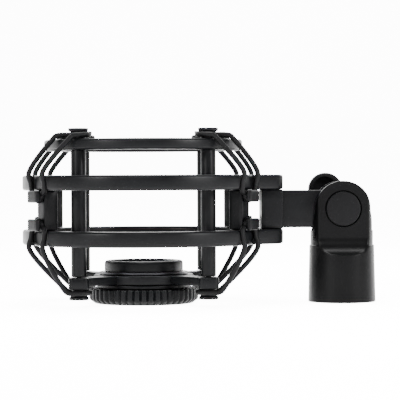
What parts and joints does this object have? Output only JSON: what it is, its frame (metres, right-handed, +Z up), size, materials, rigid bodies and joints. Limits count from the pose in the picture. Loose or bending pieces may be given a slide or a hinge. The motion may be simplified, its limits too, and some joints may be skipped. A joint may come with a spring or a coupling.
{
  "type": "microphone shock mount",
  "caption": "Elastic shock mount: a caged microphone cradle hung on rubber loops in an outer frame, with a threaded lock ring and swivel stand adapter.",
  "frame": {"origin": "centre of the bounding box at the level of the lock ring's and the stand adapter's undersides", "axes": "+X from the cage towards the stand adapter, +Z up along the microphone's axis, +Y away from the viewer, with the wing knob on the +Y side"},
  "size_m": [0.1306, 0.0892, 0.064],
  "materials": {
    "satin_paint": "satin black powder coat",
    "adapter_paint": "satin black paint",
    "rubber": "matte black rubber",
    "plastic": "matte black moulded plastic",
    "steel": "blackened steel",
    "nylon": "natural nylon",
    "brass": "plain brass"
  },
  "bodies": {
    "stand_adapter": {"adapter_body": "adapter_paint", "thread_insert": "steel", "pivot_bolt": "steel", "pivot_cap": "plastic", "friction_washer_front": "nylon", "friction_washer_back": "nylon"},
    "knob": {"wing_knob": "plastic", "knob_insert": "brass"},
    "outer_frame": {"lower_outer_ring": "satin_paint", "upper_outer_ring": "satin_paint", "arm_bracket": "satin_paint", "frame_bolt_arm": "steel", "pillar_front_left": "satin_paint", "pillar_front_right": "satin_paint", "pillar_back_left": "satin_paint", "pillar_back_right": "satin_paint", "frame_bolt_front_left": "steel", "frame_bolt_front_right": "steel", "frame_bolt_back_left": "steel", "frame_bolt_back_right": "steel"},
    "cage": {"top_ring": "satin_paint", "spider_plate": "satin_paint", "slip_washer": "nylon", "post_front_left": "satin_paint", "post_front_right": "satin_paint", "post_back_left": "satin_paint", "post_back_right": "satin_paint", "top_spool_front_left": "satin_paint", "top_spool_front_right": "satin_paint", "top_spool_back_left": "satin_paint", "top_spool_back_right": "satin_paint", "bottom_spool_front_left": "satin_paint", "bottom_spool_front_right": "satin_paint", "bottom_spool_back_left": "satin_paint", "bottom_spool_back_right": "satin_paint", "top_screw_front_left": "steel", "top_screw_front_right": "steel", "top_screw_back_left": "steel", "top_screw_back_right": "steel", "bottom_screw_front_left": "steel", "bottom_screw_front_right": "steel", "bottom_screw_back_left": "steel", "bottom_screw_back_right": "steel", "upper_band_front_left": "rubber", "upper_band_front_right": "rubber", "upper_band_back_left": "rubber", "upper_band_back_right": "rubber", "lower_band_front_left": "rubber", "lower_band_front_right": "rubber", "lower_band_back_left": "rubber", "lower_band_back_right": "rubber"},
    "lock_ring": {"knurled_lock_ring": "satin_paint", "threaded_collar": "satin_paint", "collar_retaining_ring": "steel"}
  },
  "joints": [
    {"name": "swivel_tilt", "type": "hinge", "parent": "stand_adapter", "child": "outer_frame", "pos_m": [0.0528, 0, 0.0345], "axis": [0, 1, 0], "range_deg": [0, 180]},
    {"name": "knob_turn", "type": "hinge", "parent": "stand_adapter", "child": "knob", "pos_m": [0.0528, 0, 0.0345], "axis": [0, 1, 0], "continuous": true},
    {"name": "suspension", "type": "slide", "parent": "outer_frame", "child": "cage", "axis": [0, 0, 1], "range_m": [-0.004, 0.004], "stiffness_N_per_m": 2000, "deforming": ["upper_band_front_left", "upper_band_front_right", "upper_band_back_left", "upper_band_back_right", "lower_band_front_left", "lower_band_front_right", "lower_band_back_left", "lower_band_back_right"]},
    {"name": "lock_ring_turn", "type": "hinge", "parent": "cage", "child": "lock_ring", "pos_m": [-0.0207, 0, 0.003], "axis": [0, 0, 1], "continuous": true}
  ]
}
